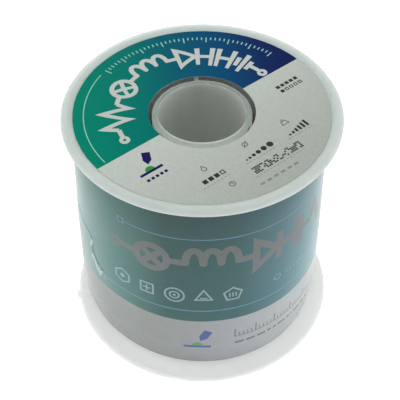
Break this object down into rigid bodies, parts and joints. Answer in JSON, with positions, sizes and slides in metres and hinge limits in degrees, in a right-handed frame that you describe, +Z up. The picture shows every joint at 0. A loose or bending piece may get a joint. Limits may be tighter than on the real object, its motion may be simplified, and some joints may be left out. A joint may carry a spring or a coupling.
{
  "type": "solder wire spool",
  "caption": "Full spool of fine solder wire: two-part moulded plastic spool with a spindle bore, the wound wire, a printed film wrap and a ring-shaped face label.",
  "frame": {"origin": "middle of the lower flange's underside, the plane that the spool stands on", "axes": "+Z up along the spool's axis, from the lower flange to the upper one that carries the face label; -Y is the picture's front, +X its right"},
  "size_m": [0.0601, 0.06, 0.0567],
  "materials": {
    "spool_plastic": "milky white moulded polystyrene, satin, slightly translucent at its thin edges",
    "solder": "dull silver tin-lead wire, smooth, drawn",
    "wrap_film": "glossy printed plastic film, grey-teal over a grey-lilac lower band",
    "face_label": "coated sticker, satin, one half a green to indigo gradient, the other half off-white"
  },
  "bodies": {
    "root": {"upper_spool_half": "spool_plastic", "lower_spool_half": "spool_plastic", "solder_winding": "solder", "wrap_film": "wrap_film", "face_label": "face_label"}
  },
  "joints": []
}
